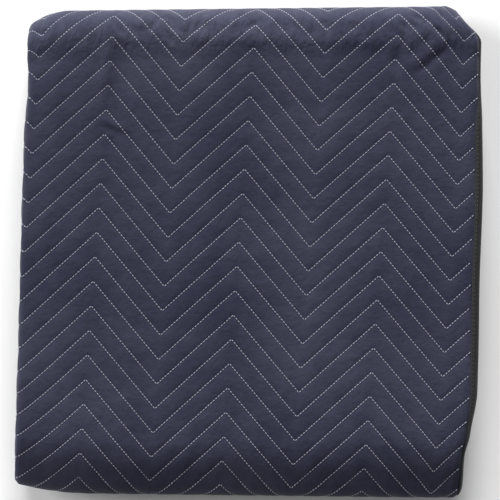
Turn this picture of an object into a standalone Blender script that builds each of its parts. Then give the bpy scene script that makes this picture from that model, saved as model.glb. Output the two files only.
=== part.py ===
"""A moving blanket, folded flat: one padded sheet, quilted in zigzags, with tape bound round its cut edges.

The sheet is folded in thirds across its width, and then in half and in half again along its length.
A place in the sheet is (across, along, depth): across runs from the cut edge that ends on top of the
stack, along runs from the cut end that lies underneath, and depth runs from the navy face to the black one.
"""

import math

import bpy
import numpy as np
from mathutils import Vector
from mathutils.geometry import delaunay_2d_cdt

# The sheet laid flat: 54 by 72 inches, in metres
CUT_WIDTH = 1.3716
CUT_LENGTH = 1.8288
LAYER = 0.0042
LAYER_GAP = 0.0007

# The folded stack, at its middle
STACK_WIDTH = 0.459
STACK_LENGTH = 0.4893
TOP_PANEL = 0.4533
UNDER_PANEL = 0.418

# Bound edge: the sheet is pressed thin under the tape
MARGIN = 0.0085
MARGIN_SLOPE = 0.0008
PRESSED = 0.0012
TAPE_FLAP = 0.008
TAPE_BEND = 0.005
TAPE_THICK = 0.0006
TAPE_CLEAR = 0.0004
TAPE_PROUD = 0.0002

# Quilting: zigzag seams, one above the other, with a soft ridge between each two. The rows fall
# towards the right, more so further back, and the peaks lean with them.
SEAM_SPACING = 0.0242
ZIGZAG_HALF_WAVE = 0.0708
ZIGZAG_DROP = 0.073
PEAK_X = -0.0127
PEAK_Y = 0.0087
ROW_FALL = 0.0672
ROW_FAN = 0.110
PEAK_LEAN = 0.0471
SEAM_DEPTH = 0.0014
SEAM_END_CLEAR = 0.0015

# Height of one folded third, and of the whole stack
BUNDLE = 3 * LAYER + 2 * LAYER_GAP
HEIGHT = 4 * BUNDLE + 3 * LAYER_GAP

# A single layer's turn at a long side: radius of its outer face and of its middle
TURN_OUTER = LAYER + LAYER_GAP / 2
TURN_MIDDLE = (LAYER + LAYER_GAP) / 2
TURN_ARC = math.pi * TURN_MIDDLE
LEFT_TURN_X = TURN_OUTER - STACK_WIDTH / 2
RIGHT_TURN_X = STACK_WIDTH / 2 - TURN_OUTER
LEFT_TURN_DEPTH = LAYER + LAYER_GAP / 2
RIGHT_TURN_DEPTH = 2 * LAYER + 1.5 * LAYER_GAP

# The top layer's hem follows the fold beneath it round, and then hangs straight
HEM_ROUND = RIGHT_TURN_DEPTH - LAYER / 2
HEM_ROUND_MOST = math.radians(80)

# Where the turns start and end across the sheet
FIRST_TURN = TOP_PANEL
FIRST_TURN_END = FIRST_TURN + TURN_ARC
SECOND_TURN = FIRST_TURN_END + RIGHT_TURN_X - LEFT_TURN_X
SECOND_TURN_END = SECOND_TURN + TURN_ARC

# The folds along the sheet: the back fold holds the whole height, the front and inner folds two thirds
BACK_RADIUS = HEIGHT / 2
PAIR_RADIUS = BUNDLE + LAYER_GAP / 2
BACK_Y = STACK_LENGTH / 2 - BACK_RADIUS
FRONT_Y = PAIR_RADIUS - STACK_LENGTH / 2
PAIR_CENTRE_Z = HEIGHT - PAIR_RADIUS
BACK_ARC = math.pi * (BACK_RADIUS - BUNDLE / 2)
PAIR_ARC = math.pi * (PAIR_RADIUS - BUNDLE / 2)
PANEL = BACK_Y - FRONT_Y
BACK_TURN = UNDER_PANEL
BACK_TURN_END = BACK_TURN + BACK_ARC
FRONT_TURN = BACK_TURN_END + PANEL
FRONT_TURN_END = FRONT_TURN + PAIR_ARC
INNER_TURN = FRONT_TURN_END + PANEL
INNER_TURN_END = INNER_TURN + PAIR_ARC
INNER_PANEL = CUT_LENGTH - INNER_TURN_END

# How the long sides wander, a row for each place along the sheet. Lengths are in millimetres.
# left and right: how far that side's turns stand out; hem: how far the top hem passes the right
# turn's middle; inner: how far the hidden hem passes the left turn's middle.
SIDE_COLUMNS = ("along", "left", "right", "hem", "inner")
SIDE_ROWS = (
    (0, -1.6, -10.5, 2.2, 2.0),
    (67, -1.0, -2.4, 2.8, 2.6),
    (180, 0.0, -2.0, 3.2, 3.2),
    (405, -0.4, -0.6, 3.0, 2.4),
    (478, 0.0, -5.1, 15.5, 3.0),
    (536, -2.6, -6.7, 15.5, 3.4),
    (586, 0.0, -5.0, 8.8, 3.6),
    (660, 0.2, -4.0, 8.2, 3.2),
    (730, 0.0, -4.6, 8.1, 2.9),
    (800, -0.2, -3.7, 8.3, 2.6),
    (838, -0.1, -3.9, 9.2, 2.8),
    (882, 0.0, -8.0, 12.8, 3.0),
    (905, 0.0, -11.0, 14.4, 3.0),
    (930, 0.0, -9.0, 12.6, 3.2),
    (960, -1.0, -9.2, 11.4, 2.6),
    (998, -1.5, -10.0, 7.6, 2.5),
    (1051, -2.0, -1.4, 5.0, 2.4),
    (1150, -2.6, -0.4, 3.0, 2.0),
    (1395, -1.0, -2.2, 3.4, 3.0),
    (1620, -0.2, -0.8, 2.0, 3.4),
    (1776, -1.6, -2.4, 2.4, 2.6),
    (1829, -2.2, -10.5, 2.6, 2.2),
)

# The stack's outline is uneven. Each row is a corner: which side and end, how much of the side draws
# in and by how much, and the reach and depth of the rounding at the fold's end, in millimetres. Only
# the side's outer strip, DRAW_WIDTH wide, draws in.
CORNER_COLUMNS = ("side", "end", "draw_reach", "draw", "round_reach", "round")
CORNER_ROWS = (
    (1, 1, 190, 6.0, 34, 8),
    (1, 1, 34, 18, 20, 2),
    (-1, 1, 60, 0.5, 40, 13.6),
    (1, -1, 105, 7.0, 16, 1.5),
    (-1, -1, 50, -1.0, 73, 9.4),
)
DRAW_WIDTH = 0.06
BACK_SKEW = 0.041
FRONT_SKEW = 0.0175
OUTLINE_MIDDLE = (0.0003, 0.00205)

# The stack is thinner at its rim, and its folded front droops past the short ends beneath
RIM_REACH = 0.09
RIM_THINNER = 0.035
CORNER_THINNER = 0.07
FRONT_DROOP = 0.011

NAVY = (0.041, 0.044, 0.075, 1)
BLACK = (0.008, 0.009, 0.009, 1)


def smooth(value):
    """0 below 0, 1 above 1, and a smooth S between."""
    value = np.clip(value, 0, 1)
    return value * value * (3 - 2 * value)


def side_value(name, along):
    """The named column of the side table at these places along the sheet, in metres, eased between rows."""
    rows = np.array(SIDE_ROWS, float)
    stops = rows[:, 0] / 1000
    values = rows[:, SIDE_COLUMNS.index(name)] / 1000
    row = np.clip(np.searchsorted(stops, along, side="right") - 1, 0, len(stops) - 2)
    part = smooth((along - stops[row]) / (stops[row + 1] - stops[row]))
    return values[row] + part * (values[row + 1] - values[row])


def fold_in_thirds(across, along, depth):
    """(x, level) in a folded third, where level 0 is its outer face.

    The middle of the sheet runs along straights and round arcs, and depth is measured square to it.
    """
    left = LEFT_TURN_X - side_value("left", along)
    right = RIGHT_TURN_X + side_value("right", along)
    hem = side_value("hem", along)
    inner = side_value("inner", along)
    off = depth - LAYER / 2

    # Top layer: straight from the left turn, then round the right turn beneath it
    run = (right - left + hem) * (1 - across / FIRST_TURN)
    past = run - (right - left)
    turned = np.clip(past / HEM_ROUND, 0, HEM_ROUND_MOST)
    tail = np.maximum(past - HEM_ROUND * HEM_ROUND_MOST, 0)
    top_x = np.where(past > 0, right + (HEM_ROUND - off) * np.sin(turned) + tail * np.cos(turned), left + run)
    top_level = RIGHT_TURN_DEPTH - (HEM_ROUND - off) * np.cos(turned) + tail * np.sin(turned)

    # Left turn, navy outside
    angle = math.pi * (across - FIRST_TURN) / TURN_ARC
    left_x = left - (TURN_MIDDLE - off) * np.sin(angle)
    left_level = LEFT_TURN_DEPTH - (TURN_MIDDLE - off) * np.cos(angle)

    # Middle layer, black side up
    part = (across - FIRST_TURN_END) / (SECOND_TURN - FIRST_TURN_END)
    middle_x = left + (right - left) * part
    middle_level = LEFT_TURN_DEPTH + TURN_MIDDLE - off

    # Right turn, black outside
    angle = math.pi * (across - SECOND_TURN) / TURN_ARC
    right_x = right + (TURN_MIDDLE + off) * np.sin(angle)
    right_level = RIGHT_TURN_DEPTH - (TURN_MIDDLE + off) * np.cos(angle)

    # Lowest layer, out to the hidden hem
    part = (across - SECOND_TURN_END) / (CUT_WIDTH - SECOND_TURN_END)
    low_x = right + (left - inner - right) * part
    low_level = RIGHT_TURN_DEPTH + TURN_MIDDLE + off

    zone = np.searchsorted((FIRST_TURN, FIRST_TURN_END, SECOND_TURN, SECOND_TURN_END), across)
    x = np.choose(zone, (top_x, left_x, middle_x, right_x, low_x))
    level = np.choose(zone, (top_level, left_level, middle_level, right_level, low_level))
    return x, level


def fold_in_quarters(along, level):
    """(y, z) of a place along the stack of thirds: four panels joined by three half turns."""
    inside = BACK_RADIUS - level
    angle = math.pi * (along - BACK_TURN) / BACK_ARC
    back = (BACK_Y + inside * np.sin(angle), BACK_RADIUS - inside * np.cos(angle))

    outside = PAIR_RADIUS - level
    angle = math.pi * (along - FRONT_TURN) / PAIR_ARC
    front = (FRONT_Y - outside * np.sin(angle), PAIR_CENTRE_Z + outside * np.cos(angle))

    round_core = LAYER_GAP / 2 + level
    angle = math.pi * (along - INNER_TURN) / PAIR_ARC
    inner = (BACK_Y + round_core * np.sin(angle), HEIGHT / 2 + round_core * np.cos(angle))

    under = (BACK_Y - UNDER_PANEL + along, level)
    top = (BACK_Y - (along - BACK_TURN_END), HEIGHT - level)
    third = (FRONT_Y + along - FRONT_TURN_END, HEIGHT / 2 + LAYER_GAP / 2 + level)
    last = (BACK_Y - (along - INNER_TURN_END), HEIGHT / 2 - LAYER_GAP / 2 - level)

    stops = (BACK_TURN, BACK_TURN_END, FRONT_TURN, FRONT_TURN_END, INNER_TURN, INNER_TURN_END)
    zone = np.searchsorted(stops, along)
    runs = (under, back, top, front, third, inner, last)
    y = np.choose(zone, [run[0] for run in runs])
    z = np.choose(zone, [run[1] for run in runs])
    return y, z


def skewed(x, y):
    """y with the front and back folds set out of square."""
    part = (y + STACK_LENGTH / 2) / STACK_LENGTH
    return y + x * (FRONT_SKEW + (BACK_SKEW - FRONT_SKEW) * part)


def settle(x, y, z):
    """The squarely folded stack, settled: rim and corners drawn in and thinner, front drooping."""
    half_x = STACK_WIDTH / 2
    half_y = STACK_LENGTH / 2

    short_end = BACK_Y - INNER_PANEL
    sag = smooth((short_end - y) / (short_end + half_y))
    z = z - FRONT_DROOP * sag * smooth((z - BUNDLE) / BUNDLE)

    rim_x = smooth((np.abs(x) - half_x + RIM_REACH) / RIM_REACH)
    rim_y = smooth((np.abs(y) - half_y + RIM_REACH) / RIM_REACH)
    z = z * (1 - RIM_THINNER * np.maximum(rim_x, rim_y) - CORNER_THINNER * rim_x * rim_y)

    new_x, new_y = x.copy(), skewed(x, y)
    for row in CORNER_ROWS:
        corner = dict(zip(CORNER_COLUMNS, row))
        reach = corner["draw_reach"] / 1000
        near_end = smooth((corner["end"] * y - half_y + reach) / reach)
        near_side = smooth((corner["side"] * x - half_x + DRAW_WIDTH) / DRAW_WIDTH)
        new_x -= corner["side"] * corner["draw"] / 1000 * near_end * near_side
        reach = corner["round_reach"] / 1000
        over_x = np.clip((corner["side"] * x - half_x + reach) / reach, 0, 1.1)
        over_y = smooth((corner["end"] * y - half_y + 2 * reach) / (2 * reach))
        new_y -= corner["end"] * corner["round"] / 1000 * over_x**2 * over_y
    return new_x - OUTLINE_MIDDLE[0], new_y - OUTLINE_MIDDLE[1], z


def place(across, along, depth):
    """World points of places in the sheet."""
    across, along, depth = np.broadcast_arrays(np.float64(across), np.float64(along), np.float64(depth))
    x, level = fold_in_thirds(across, along, depth)
    y, z = fold_in_quarters(along, level)
    return np.stack(settle(x, y, z), axis=-1)


# Where points are set beside each side turn, along the top hem's bend and inward of it, and where that
# bend fades out. Stacked layers take points at about the same places, so that they bend alike.
LEFT_STOPS = (0.015, 0.035, 0.07)
RIGHT_STOPS = (0.010, 0.022, 0.035, 0.07)
HEM_BENDS = (0.0124, 0.0158, 0.0200)
HEM_STOPS = (0.032, 0.044, 0.056, 0.09)
CURL_STOPS = (0.025, 0.049, 0.074, 0.099, 0.218)

# Each panel takes points at the same places from the front, where the stack starts to droop and where
# its right side starts to draw in, and at the same places from the back folds
DROOP_RUN = PANEL - INNER_PANEL
DRAW_RUN = 0.095
FOLD_STOPS = (0.02, 0.07)


def steps(start, end, count):
    """count + 1 evenly spaced stops, as a list."""
    return list(np.linspace(start, end, count + 1))


def edge_stops(length):
    """The stops at a bound edge, and the same from the other edge."""
    near = [0, TAPE_BEND, MARGIN, MARGIN + MARGIN_SLOPE]
    return near, [length - stop for stop in reversed(near)]


def across_stops():
    near, far = edge_stops(CUT_WIDTH)
    stops = near + list(HEM_BENDS + HEM_STOPS) + [FIRST_TURN - STACK_WIDTH / 2]
    stops += [FIRST_TURN - stop for stop in reversed(LEFT_STOPS)]
    stops += steps(FIRST_TURN, FIRST_TURN_END, 4)
    stops += [FIRST_TURN_END + stop for stop in LEFT_STOPS] + [SECOND_TURN - STACK_WIDTH / 2]
    stops += [SECOND_TURN - stop for stop in reversed(RIGHT_STOPS)]
    stops += steps(SECOND_TURN, SECOND_TURN_END, 4)
    stops += [SECOND_TURN_END + stop for stop in RIGHT_STOPS] + [SECOND_TURN_END + STACK_WIDTH / 2]
    stops += [CUT_WIDTH - stop for stop in reversed(LEFT_STOPS)]
    return np.array(stops + far)


def along_stops():
    near, far = edge_stops(CUT_LENGTH)
    stops = near + [UNDER_PANEL - PANEL + DRAW_RUN] + [BACK_TURN - stop for stop in reversed(FOLD_STOPS)]
    stops += steps(BACK_TURN, BACK_TURN_END, 12)
    stops += [BACK_TURN_END + stop for stop in CURL_STOPS]
    stops += [FRONT_TURN - DRAW_RUN, FRONT_TURN - DROOP_RUN]
    stops += steps(FRONT_TURN, FRONT_TURN_END, 6)
    stops += [FRONT_TURN_END + DROOP_RUN, FRONT_TURN_END + DRAW_RUN]
    stops += [INNER_TURN - stop for stop in reversed(FOLD_STOPS)]
    stops += steps(INNER_TURN, INNER_TURN_END, 6)
    stops += [INNER_TURN_END + stop for stop in FOLD_STOPS] + [INNER_TURN_END + PANEL - DRAW_RUN]
    return np.array(stops + far)


def pressed(across, along):
    """How far each face is pressed in under the tape."""
    inward = np.minimum(
        np.minimum(across, CUT_WIDTH - across), np.minimum(along, CUT_LENGTH - along)
    )
    return PRESSED * (1 - np.clip((inward - MARGIN) / MARGIN_SLOPE, 0, 1))


# The top face as if it went on flat past its folds: along the sheet against y, in its outer face's length
FLAT_ALONG = (BACK_TURN, BACK_TURN_END, FRONT_TURN, FRONT_TURN_END)
FLAT_Y = (
    BACK_Y + math.pi * BACK_RADIUS,
    BACK_Y,
    FRONT_Y,
    FRONT_Y - math.pi * PAIR_RADIUS,
)

# The top of the stack is level this far out, and a seam's straight line there needs no middle point
LEVEL_X = STACK_WIDTH / 2 - RIM_REACH
LEVEL_Y = STACK_LENGTH / 2 - RIM_REACH

# Where the sheet starts to run the other way, across it and along it
SIDE_FOLDS = ((FIRST_TURN + FIRST_TURN_END) / 2, (SECOND_TURN + SECOND_TURN_END) / 2)
END_FOLDS = (BACK_TURN_END, (FRONT_TURN + FRONT_TURN_END) / 2, INNER_TURN)

# The shortest piece of a seam's line that is kept, as a part of it. The face is divided in millimetres,
# and points nearer than the last value become one.
SHORTEST_PART = 0.02
MILLIMETRES = 1000.0
SAME_POINT = 0.05


def top_run(along):
    """Of the top layer laid out flat: x of its left turn, and its length from there to the hem."""
    left = LEFT_TURN_X - side_value("left", along)
    return left, RIGHT_TURN_X + side_value("right", along) + side_value("hem", along) - left


def seam_phase(across, along):
    """How many seams lie between a place and the seam through the first peak: whole on each seam."""
    left, run = top_run(along)
    x = left + run * (1 - across / FIRST_TURN)
    y = np.interp(along, FLAT_ALONG, FLAT_Y)
    row = (x - PEAK_LEAN * y - PEAK_X) / ZIGZAG_HALF_WAVE
    column = y + x * (ROW_FALL + ROW_FAN * y) - PEAK_Y
    return (column + ZIGZAG_DROP * (1 - np.abs(row % 2 - 1))) / SEAM_SPACING


def seam_corner(wave, seam):
    """(x, y) on the flat top face of a seam's corner: even waves are peaks, odd ones valleys."""
    row = PEAK_X + wave * ZIGZAG_HALF_WAVE
    column = PEAK_Y + seam * SEAM_SPACING - ZIGZAG_DROP * (wave % 2)
    # x = row + lean * y, and column = y + x * (fall + fan * y): a quadratic in y
    second = ROW_FAN * PEAK_LEAN
    first = 1 + ROW_FALL * PEAK_LEAN + ROW_FAN * row
    y = (-first + math.sqrt(first**2 - 4 * second * (ROW_FALL * row - column))) / (2 * second)
    return np.array((row + PEAK_LEAN * y, y))


def quilted(across, along):
    """Depth of the navy face: lowest on a seam, and level with the sheet's face half way to the next."""
    phase = seam_phase(across, along)
    return SEAM_DEPTH * (1 - 2 * np.abs(phase - np.round(phase)))


def sheet_place(x, y):
    """(across, along) of a place on the flat top face."""
    along = float(np.interp(-y, np.negative(FLAT_Y), FLAT_ALONG))
    left, run = top_run(along)
    return np.array((FIRST_TURN * (1 - (x - left) / run), along))


def clipped(first, last, low, high):
    """The part of a straight line that lies in the box, or None."""
    span = last - first
    enter, leave = 0.0, 1.0
    for axis in range(2):
        if abs(span[axis]) < 1e-9:
            if not low[axis] <= first[axis] <= high[axis]:
                return None
            continue
        ends = sorted(((low[axis] - first[axis]) / span[axis], (high[axis] - first[axis]) / span[axis]))
        enter, leave = max(enter, ends[0]), min(leave, ends[1])
    if leave - enter < SHORTEST_PART:
        return None
    return first + span * enter, first + span * leave


def zigzag_lines(low, high):
    """Straight pieces of each seam and of each ridge between two seams, inside the box of the sheet."""
    waves = round(STACK_WIDTH / ZIGZAG_HALF_WAVE) + 1
    seams = round(STACK_LENGTH / SEAM_SPACING)
    found = []
    for half_seam in range(-2 * seams, 2 * seams + 1):
        for wave in range(-waves, waves):
            first, last = seam_corner(wave, half_seam / 2), seam_corner(wave + 1, half_seam / 2)
            level = all(abs(x) < LEVEL_X and abs(y) < LEVEL_Y for x, y in (first, last))
            cuts = [0, 1] if level else [0, 0.5, 1]
            cuts += [(fold - first[1]) / (last[1] - first[1]) for fold in (BACK_Y, FRONT_Y)]
            cuts = sorted(cut for cut in cuts if 0 <= cut <= 1)
            stops = [sheet_place(*(first + cut * (last - first))) for cut in cuts]
            pieces = [clipped(*ends, low, high) for ends in zip(stops, stops[1:])]
            found += [piece for piece in pieces if piece]
    return found


def quilted_face(across, along):
    """Points and triangles of the quilted stretch of the navy face, between these stops.

    The stops' points on the rim come first, in order round it, so that the rest of the face can share them.
    """
    rim = [(u, along[0]) for u in across[:-1]] + [(across[-1], v) for v in along[:-1]]
    rim += [(u, along[-1]) for u in across[:0:-1]] + [(across[0], v) for v in along[:0:-1]]
    points = list(rim)
    edges = [(i, (i + 1) % len(rim)) for i in range(len(rim))]
    at = {point: i for i, point in enumerate(rim)}
    bends = [v for v in along if v <= BACK_TURN_END or v >= FRONT_TURN]
    edges += [(at[(across[0], v)], at[(across[-1], v)]) for v in bends[1:-1]]
    bends = [u for u in across if u <= HEM_BENDS[-1] or u >= FIRST_TURN]
    edges += [(at[(u, along[0])], at[(u, along[-1])]) for u in bends[1:-1]]
    low = np.array((across[0], along[0])) + SEAM_END_CLEAR
    high = np.array((across[-1], along[-1])) - SEAM_END_CLEAR
    for first, last in zigzag_lines(low, high):
        edges.append((len(points), len(points) + 1))
        points += [tuple(first), tuple(last)]
    found = delaunay_2d_cdt([Vector(point) * MILLIMETRES for point in points], edges, [], 0, SAME_POINT)
    places = np.array([tuple(point) for point in found[0]]) / MILLIMETRES
    rim_of = {}
    for index, sources in enumerate(found[3]):
        for source in sources:
            if source < len(rim):
                rim_of[index] = source
    order = [None] * len(places)
    spare = len(rim)
    for index in range(len(places)):
        order[index] = rim_of.get(index)
        if order[index] is None:
            order[index] = spare
            spare += 1
    inner = np.array([places[i] for i in range(len(places)) if i not in rim_of])
    triangles = np.array([[order[i] for i in face] for face in found[2]])
    return rim, inner, triangles


def quads(index):
    """Faces of a grid of vertex numbers, turning from the first axis to the second."""
    return np.stack((index[:-1, :-1], index[1:, :-1], index[1:, 1:], index[:-1, 1:]), axis=-1).reshape(-1, 4)


def halved(cells, across, along):
    """These four-sided faces as triangles, where across and along give each vertex's place in the sheet.

    A fold runs the next layer the other way, so the diagonal changes with it. Stacked faces are then
    halved the same way, and stay apart where they are twisted.
    """
    u, v = across.reshape(-1)[cells], along.reshape(-1)[cells]
    folds = np.searchsorted(SIDE_FOLDS, u.mean(axis=1)) + np.searchsorted(END_FOLDS, v.mean(axis=1))
    rising = (u[:, 2] - u[:, 0]) * (v[:, 2] - v[:, 0]) > 0
    kept = cells[rising == (folds % 2 == 1)]
    other = np.roll(cells[rising != (folds % 2 == 1)], 1, axis=1)
    both = np.concatenate((kept, other))
    return np.concatenate((both[:, [0, 1, 2]], both[:, [0, 2, 3]]))


def new_piece(name, points, faces, colour, roughness):
    """A smooth-shaded mesh object of these points and faces, with its own material."""
    mesh = bpy.data.meshes.new(name)
    mesh.from_pydata(points.tolist(), [], [[int(i) for i in face] for face in faces])
    mesh.shade_smooth()
    mesh.set_sharp_from_angle(angle=math.radians(40))
    material = bpy.data.materials.new(name)
    material.use_nodes = True
    shader = material.node_tree.nodes["Principled BSDF"]
    shader.inputs["Base Color"].default_value = colour
    shader.inputs["Roughness"].default_value = roughness
    shader.inputs["Metallic"].default_value = 0
    mesh.materials.append(material)
    piece = bpy.data.objects.new(name, mesh)
    bpy.context.scene.collection.objects.link(piece)
    return piece


def make_sheet():
    """The padded sheet: a black face, a navy face with the quilted stretch let in, and the cut rim."""
    across, along = across_stops(), along_stops()
    first_across = int(np.argmin(np.abs(across - MARGIN - MARGIN_SLOPE)))
    last_across = int(np.argmin(np.abs(across - (FIRST_TURN + FIRST_TURN_END) / 2)))
    first_along = int(np.argmin(np.abs(along - BACK_TURN)))
    last_along = int(np.argmin(np.abs(along - (FRONT_TURN + FRONT_TURN_END) / 2)))

    grid = np.meshgrid(across, along, indexing="ij")
    count = grid[0].size
    black = np.arange(count).reshape(grid[0].shape)
    navy = black + count
    squeeze = pressed(*grid)
    points = [
        place(grid[0], grid[1], LAYER - squeeze).reshape(-1, 3),
        place(grid[0], grid[1], squeeze).reshape(-1, 3),
    ]

    window = (slice(first_across, last_across + 1), slice(first_along, last_along + 1))
    rim, inner, triangles = quilted_face(across[window[0]], along[window[1]])
    corner = {(across[i], along[j]): navy[i, j] for i in range(len(across)) for j in range(len(along))}
    number = np.array([corner[point] for point in rim] + list(range(2 * count, 2 * count + len(inner))))
    points.append(place(inner[:, 0], inner[:, 1], quilted(inner[:, 0], inner[:, 1])))

    outside = np.ones((len(across) - 1, len(along) - 1), bool)
    outside[first_across:last_across, first_along:last_along] = False
    places = [np.tile(axis.reshape(-1), 2) for axis in grid]
    faces = list(halved(quads(navy)[outside.reshape(-1)], *places))
    faces += list(number[triangles])
    faces += list(halved(quads(black), *places)[:, ::-1])
    for edge in (
        (black[:, 0], navy[:, 0]),
        (black[-1, :], navy[-1, :]),
        (black[::-1, -1], navy[::-1, -1]),
        (black[0, ::-1], navy[0, ::-1]),
    ):
        faces += list(quads(np.stack(edge, axis=1)))

    used = np.unique(np.concatenate([np.ravel(face) for face in faces]))
    renumber = np.zeros(2 * count + len(inner), int)
    renumber[used] = np.arange(len(used))
    return new_piece(
        "quilted_sheet", np.concatenate(points)[used], [renumber[face] for face in faces], NAVY, 0.85
    )


def make_binding():
    """The tape: a folded strip whose section is carried once round the sheet's rim, square at the corners."""
    top, low = TAPE_PROUD, LAYER - TAPE_PROUD
    under_top, over_low = top + TAPE_THICK, low - TAPE_THICK
    edge = -TAPE_CLEAR
    section = (
        (TAPE_FLAP, top),
        (TAPE_BEND, top),
        (TAPE_BEND / 2, top),
        (edge - TAPE_THICK, top),
        (edge - TAPE_THICK, low),
        (TAPE_BEND, low),
        (TAPE_FLAP, low),
        (TAPE_FLAP, over_low),
        (TAPE_BEND, over_low),
        (edge, over_low),
        (edge, under_top),
        (TAPE_BEND / 2, under_top),
        (TAPE_BEND, under_top),
        (TAPE_FLAP, under_top),
    )
    across = across_stops()[3:-3]
    along = along_stops()[3:-3]
    rings, places = [], []
    for inward, depth in section:
        far_across, far_along = CUT_WIDTH - inward, CUT_LENGTH - inward
        u = np.concatenate((
            [inward], across, [far_across], np.full(len(along), far_across),
            [far_across], across[::-1], [inward], np.full(len(along), inward),
        ))
        v = np.concatenate((
            [inward], np.full(len(across), inward), [inward], along,
            [far_along], np.full(len(across), far_along), [far_along], along[::-1],
        ))
        rings.append(place(u, v, depth))
        places.append((u, v))
    points = np.stack(rings, axis=1)
    across, along = np.stack(places, axis=-1)
    index = np.arange(points.shape[0] * points.shape[1]).reshape(points.shape[:2])
    index = np.concatenate((index, index[:1]))
    index = np.concatenate((index, index[:, :1]), axis=1)
    faces = halved(quads(index), across, along)[:, ::-1]
    return new_piece("edge_binding", points.reshape(-1, 3), faces, BLACK, 0.7)


for old in list(bpy.data.objects):
    bpy.data.objects.remove(old)
make_sheet()
make_binding()
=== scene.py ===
import math

import bpy
import numpy as np
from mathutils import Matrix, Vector
from mathutils.geometry import delaunay_2d_cdt


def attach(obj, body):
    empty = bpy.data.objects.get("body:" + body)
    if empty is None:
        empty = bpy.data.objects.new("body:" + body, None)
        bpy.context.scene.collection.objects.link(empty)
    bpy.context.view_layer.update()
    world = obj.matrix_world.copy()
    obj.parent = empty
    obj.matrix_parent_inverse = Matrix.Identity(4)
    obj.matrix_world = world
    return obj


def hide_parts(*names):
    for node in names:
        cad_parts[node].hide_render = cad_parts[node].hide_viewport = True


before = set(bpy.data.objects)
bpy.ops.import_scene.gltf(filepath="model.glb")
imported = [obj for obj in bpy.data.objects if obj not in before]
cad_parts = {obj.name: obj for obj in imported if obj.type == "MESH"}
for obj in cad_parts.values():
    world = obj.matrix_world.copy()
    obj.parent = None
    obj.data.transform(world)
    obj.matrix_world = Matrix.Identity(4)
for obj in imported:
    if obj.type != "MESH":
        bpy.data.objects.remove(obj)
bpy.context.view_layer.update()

# The quilted sheet. One padded cloth 54 by 72 inches: navy woven polyester on one face, black on the
# other, a thin batting between, quilted together in rows of zigzag. It is folded in thirds across, and
# then in half and in half again along. A place in it is (across, along, depth), depth from the navy face.
CUT_WIDTH = 1.3716
CUT_LENGTH = 1.8288
LAYER = 0.0042
LAYER_GAP = 0.0007

STACK_WIDTH = 0.459
STACK_LENGTH = 0.4893
TOP_PANEL = 0.4533
UNDER_PANEL = 0.418

BUNDLE = 3 * LAYER + 2 * LAYER_GAP
HEIGHT = 4 * BUNDLE + 3 * LAYER_GAP

# A single layer's turn at a long side, then where the turns start and end across the sheet
TURN_OUTER = LAYER + LAYER_GAP / 2
TURN_MIDDLE = (LAYER + LAYER_GAP) / 2
TURN_ARC = math.pi * TURN_MIDDLE
LEFT_TURN_X = TURN_OUTER - STACK_WIDTH / 2
RIGHT_TURN_X = STACK_WIDTH / 2 - TURN_OUTER
LEFT_TURN_DEPTH = LAYER + LAYER_GAP / 2
RIGHT_TURN_DEPTH = 2 * LAYER + 1.5 * LAYER_GAP
HEM_ROUND = RIGHT_TURN_DEPTH - LAYER / 2
HEM_ROUND_MOST = math.radians(80)
FIRST_TURN = TOP_PANEL
FIRST_TURN_END = FIRST_TURN + TURN_ARC
SECOND_TURN = FIRST_TURN_END + RIGHT_TURN_X - LEFT_TURN_X
SECOND_TURN_END = SECOND_TURN + TURN_ARC

# The folds along the sheet: the back one holds the whole height, the front and inner ones half of it
BACK_RADIUS = HEIGHT / 2
PAIR_RADIUS = BUNDLE + LAYER_GAP / 2
BACK_Y = STACK_LENGTH / 2 - BACK_RADIUS
FRONT_Y = PAIR_RADIUS - STACK_LENGTH / 2
PAIR_CENTRE_Z = HEIGHT - PAIR_RADIUS
BACK_ARC = math.pi * (BACK_RADIUS - BUNDLE / 2)
PAIR_ARC = math.pi * (PAIR_RADIUS - BUNDLE / 2)
PANEL = BACK_Y - FRONT_Y
BACK_TURN = UNDER_PANEL
BACK_TURN_END = BACK_TURN + BACK_ARC
FRONT_TURN = BACK_TURN_END + PANEL
FRONT_TURN_END = FRONT_TURN + PAIR_ARC
INNER_TURN = FRONT_TURN_END + PANEL
INNER_TURN_END = INNER_TURN + PAIR_ARC
INNER_PANEL = CUT_LENGTH - INNER_TURN_END

# How the long sides wander along the sheet, in millimetres: how far the left and right turns stand
# out, and how far the top hem and the hidden hem pass the turns
SIDE_COLUMNS = ("along", "left", "right", "hem", "inner")
SIDE_ROWS = (
    (0, -1.6, -10.5, 2.2, 2.0),
    (67, -1.0, -2.4, 2.8, 2.6),
    (180, 0.0, -2.0, 3.2, 3.2),
    (405, -0.4, -0.6, 3.0, 2.4),
    (478, 0.0, -5.1, 15.5, 3.0),
    (536, -2.6, -6.7, 15.5, 3.4),
    (586, 0.0, -5.0, 8.8, 3.6),
    (660, 0.2, -4.0, 8.2, 3.2),
    (730, 0.0, -4.6, 8.1, 2.9),
    (800, -0.2, -3.7, 8.3, 2.6),
    (838, -0.1, -3.9, 9.2, 2.8),
    (882, 0.0, -8.0, 12.8, 3.0),
    (905, 0.0, -11.0, 14.4, 3.0),
    (930, 0.0, -9.0, 12.6, 3.2),
    (960, -1.0, -9.2, 11.4, 2.6),
    (998, -1.5, -10.0, 7.6, 2.5),
    (1051, -2.0, -1.4, 5.0, 2.4),
    (1150, -2.6, -0.4, 3.0, 2.0),
    (1395, -1.0, -2.2, 3.4, 3.0),
    (1620, -0.2, -0.8, 2.0, 3.4),
    (1776, -1.6, -2.4, 2.4, 2.6),
    (1829, -2.2, -10.5, 2.6, 2.2),
)

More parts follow.
